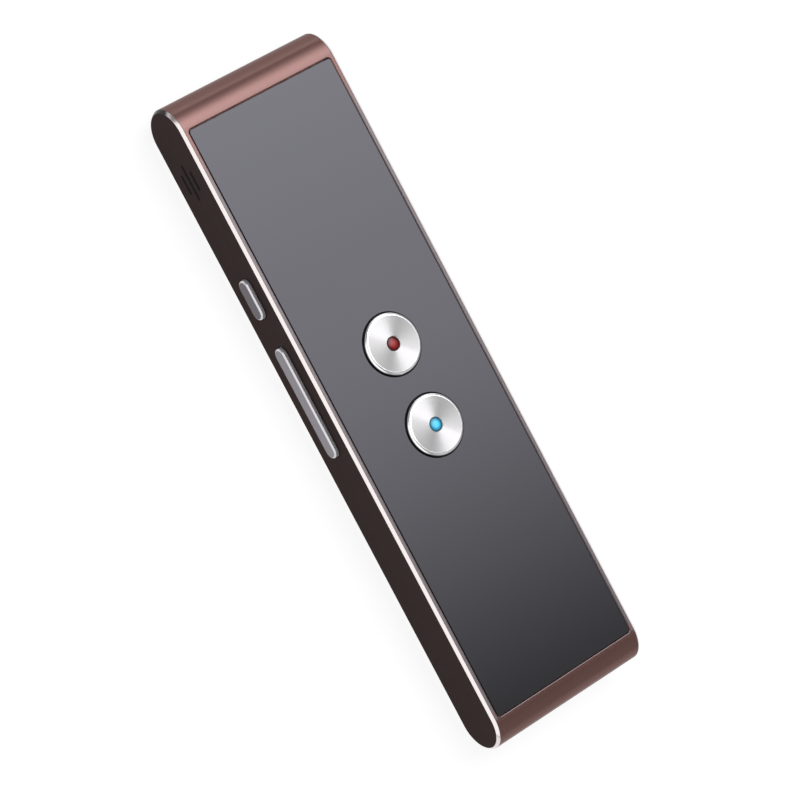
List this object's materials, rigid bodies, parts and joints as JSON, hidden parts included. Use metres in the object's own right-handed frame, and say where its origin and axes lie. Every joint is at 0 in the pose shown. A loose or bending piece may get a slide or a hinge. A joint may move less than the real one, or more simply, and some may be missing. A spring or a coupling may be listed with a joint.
{
  "type": "handheld translator",
  "caption": "Slim bar-shaped pocket voice translator with a dark glass front, talk buttons, side keys and a side speaker.",
  "frame": {"origin": "centre of the flat back face, on the surface that the device lies on", "axes": "+Z out of the front glass, +Y towards the speaker end, +X to the right seen from the front, so the side keys and the speaker slots are on the -X side"},
  "size_m": [0.0398, 0.142, 0.0129],
  "materials": {
    "anodised_aluminium": "brown satin anodised, machined",
    "black_glass": "polished glass, black behind",
    "spun_aluminium": "silver, turned with fine circular lines",
    "key_aluminium": "silver satin with polished edges",
    "red_lens": "clear red",
    "blue_lens": "clear blue",
    "black_plastic": "moulded, black",
    "white_plastic": "moulded, off-white",
    "board_green": "glass-fibre board with green lacquer",
    "flex_amber": "amber film",
    "foil": "bright foil",
    "steel": "bright steel",
    "black_rubber": "soft, black",
    "foam": "closed foam, dark grey",
    "clear_tape": "thin adhesive film",
    "red_wire": "red wire cover",
    "black_wire": "black wire cover",
    "chip_black": "moulded, black"
  },
  "bodies": {
    "body": {"housing": "anodised_aluminium", "front_glass": "black_glass", "glass_adhesive": "clear_tape", "middle_frame": "black_plastic", "frame_screw_1": "steel", "frame_screw_2": "steel", "frame_screw_3": "steel", "frame_screw_4": "steel", "bracket_screw_1": "steel", "bracket_screw_2": "steel", "board_screw_1": "steel", "board_screw_2": "steel", "end_screw_1": "steel", "end_screw_2": "steel", "red_switch_body": "steel", "red_led": "red_lens", "blue_switch_body": "steel", "blue_led": "blue_lens", "power_switch_body": "steel", "volume_up_switch_body": "steel", "volume_down_switch_body": "steel", "key_bracket": "steel", "key_flex": "flex_amber", "main_board": "board_green", "microphone_board": "board_green", "microphone_ribbon": "flex_amber", "shield_can": "steel", "processor_chip": "chip_black", "timing_crystal": "foil", "audio_amplifier": "chip_black", "antenna_chip": "white_plastic", "battery_cell": "foil", "battery_tape": "clear_tape", "battery_protection_board": "flex_amber", "battery_plug": "white_plastic", "battery_lead_red": "red_wire", "battery_lead_black": "black_wire", "speaker_basket": "black_plastic", "speaker_cone": "chip_black", "speaker_magnet": "steel", "speaker_gasket": "foam", "speaker_mesh": "steel", "speaker_lead_red": "red_wire", "speaker_lead_black": "black_wire", "microphone_boot": "black_rubber", "microphone_capsule": "foil", "socket_shell": "steel", "socket_core": "black_plastic"},
    "red_button": {"red_button_cap": "spun_aluminium", "red_button_lens": "red_lens", "red_switch_plunger": "black_plastic"},
    "blue_button": {"blue_button_cap": "spun_aluminium", "blue_button_lens": "blue_lens", "blue_switch_plunger": "black_plastic"},
    "power_button": {"power_key": "key_aluminium", "power_switch_plunger": "white_plastic"},
    "volume_rocker": {"volume_key": "key_aluminium", "volume_up_switch_plunger": "white_plastic", "volume_down_switch_plunger": "white_plastic"}
  },
  "joints": [
    {"name": "red_button_press", "type": "slide", "parent": "body", "child": "red_button", "axis": [0, 0, -1], "range_m": [0, 0.0004], "stiffness_N_per_m": 3000, "springref_m": -0.0002},
    {"name": "blue_button_press", "type": "slide", "parent": "body", "child": "blue_button", "axis": [0, 0, -1], "range_m": [0, 0.0004], "stiffness_N_per_m": 3000, "springref_m": -0.0002},
    {"name": "power_key_press", "type": "slide", "parent": "body", "child": "power_button", "axis": [1, 0, 0], "range_m": [0, 0.0003], "stiffness_N_per_m": 3000, "springref_m": -0.0002},
    {"name": "volume_key_rock", "type": "hinge", "parent": "body", "child": "volume_rocker", "pos_m": [-0.01795, 0.00685, 0.006], "axis": [0, 0, 1], "range_deg": [-1.7, 1.7], "stiffness_Nm_per_rad": 0.5}
  ]
}
